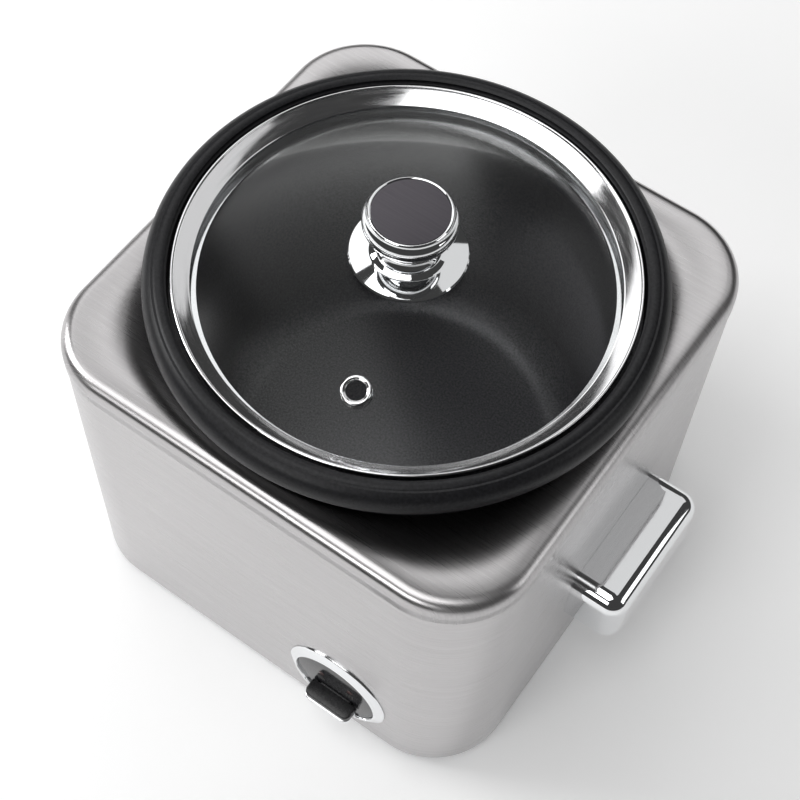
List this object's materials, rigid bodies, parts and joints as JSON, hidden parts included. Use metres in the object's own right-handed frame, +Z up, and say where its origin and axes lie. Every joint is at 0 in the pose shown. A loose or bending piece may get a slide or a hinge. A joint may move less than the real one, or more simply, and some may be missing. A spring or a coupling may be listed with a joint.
{
  "type": "slow cooker",
  "caption": "Square countertop cooker with a lift-out round pot, domed glass lid with knob and vent, side handles and a press-down cook lever.",
  "frame": {"origin": "on the pot's axis, in the plane that the feet stand on", "axes": "+Z up; the front with the lever looks along -Y; the handles stand out along +X and -X"},
  "size_m": [0.315, 0.28, 0.2696],
  "materials": {
    "brushed_housing": "brushed stainless sheet",
    "polished_steel": "polished stainless steel",
    "chrome": "bright chrome plating",
    "satin_dark": "satin dark metal inlay",
    "rim_black": "fine-textured black moulding",
    "nonstick": "charcoal non-stick coating on aluminium",
    "lid_glass": "clear tempered glass",
    "panel_gloss": "gloss black plastic",
    "paddle_black": "satin black plastic",
    "lens": "smoked lens",
    "black_plastic": "matte black plastic",
    "rubber": "soft black rubber",
    "zinc_steel": "zinc-plated steel",
    "cast_aluminium": "machined cast aluminium",
    "liner_steel": "aluminised steel sheet",
    "ferrite": "sintered ferrite",
    "brass": "plain brass",
    "mica": "mica sheath",
    "ceramic": "glazed ceramic",
    "wire": "silicone insulation",
    "board": "printed board",
    "lamp": "neon lamp glass"
  },
  "bodies": {
    "housing": {"body_shell": "brushed_housing", "top_cover": "brushed_housing", "base_plate": "zinc_steel", "foot_rear_right": "rubber", "foot_rear_left": "rubber", "foot_front_left": "rubber", "foot_front_right": "rubber", "foot_screws": "zinc_steel", "corner_pillars": "zinc_steel", "base_screws": "zinc_steel", "chamber_liner": "liner_steel", "heater_plate": "cast_aluminium", "heating_element": "liner_steel", "heater_posts": "zinc_steel", "heater_screws": "zinc_steel", "warming_band": "mica", "thermostat_housing": "zinc_steel", "sensor_spring": "zinc_steel", "handle_right": "chrome", "handle_left": "chrome", "handle_screws": "zinc_steel", "switch_bezel": "chrome", "switch_panel": "panel_gloss", "indicator_lenses": "lens", "indicator_lamps": "lamp", "bezel_clamp": "zinc_steel", "lamp_board": "board", "board_pegs": "black_plastic", "lever_bracket": "zinc_steel", "pivot_pin": "zinc_steel", "microswitch": "black_plastic", "inlet_housing": "black_plastic", "inlet_pins": "brass", "terminal_block": "ceramic", "terminal_screws": "brass", "thermal_fuse": "ceramic", "wire_live": "wire", "wire_neutral": "wire", "wire_fuse": "wire"},
    "pot": {"inner_pot": "nonstick", "pot_rim_ring": "rim_black"},
    "lid": {"lid_glass": "lid_glass", "lid_band": "polished_steel", "vent_grommet": "polished_steel", "knob_base": "chrome", "knob": "chrome", "knob_disc": "satin_dark", "knob_washer": "rubber", "knob_screw": "zinc_steel"},
    "cook_lever": {"lever_arm": "zinc_steel", "paddle": "paddle_black", "paddle_trim": "chrome"},
    "switch_button": {"microswitch_button": "black_plastic"},
    "lifting_magnet": {"magnet": "ferrite", "magnet_rod": "zinc_steel"},
    "sensor": {"sensor_cap": "cast_aluminium", "ferrite": "ferrite"}
  },
  "joints": [
    {"name": "pot_lift", "type": "slide", "parent": "housing", "child": "pot", "axis": [0, 0, 1], "range_m": [0, 0.2]},
    {"name": "lid_lift", "type": "slide", "parent": "pot", "child": "lid", "axis": [0, 0, 1], "range_m": [0, 0.12]},
    {"name": "cook_press", "type": "hinge", "parent": "housing", "child": "cook_lever", "pos_m": [0.0532, -0.058, 0.024], "axis": [1, 0, 0], "range_deg": [0, 4], "stiffness_Nm_per_rad": 0.6, "springref_deg": -8.59},
    {"name": "magnet_rise", "type": "slide", "parent": "housing", "child": "lifting_magnet", "axis": [0, 0, 1], "range_m": [0, 0.0044]},
    {"name": "button_push", "type": "slide", "parent": "housing", "child": "switch_button", "axis": [0, 0, 1], "range_m": [-0.0025, 0]},
    {"name": "sensor_dip", "type": "slide", "parent": "housing", "child": "sensor", "axis": [0, 0, 1], "range_m": [-0.002, 0], "stiffness_N_per_m": 600, "springref_m": 0.005, "deforming": ["sensor_spring"]}
  ],
  "couplings": [
    {"joint": "magnet_rise", "follows": "cook_press", "m_per_rad": 0.0616},
    {"joint": "button_push", "follows": "cook_press", "m_per_rad": -0.0344}
  ]
}
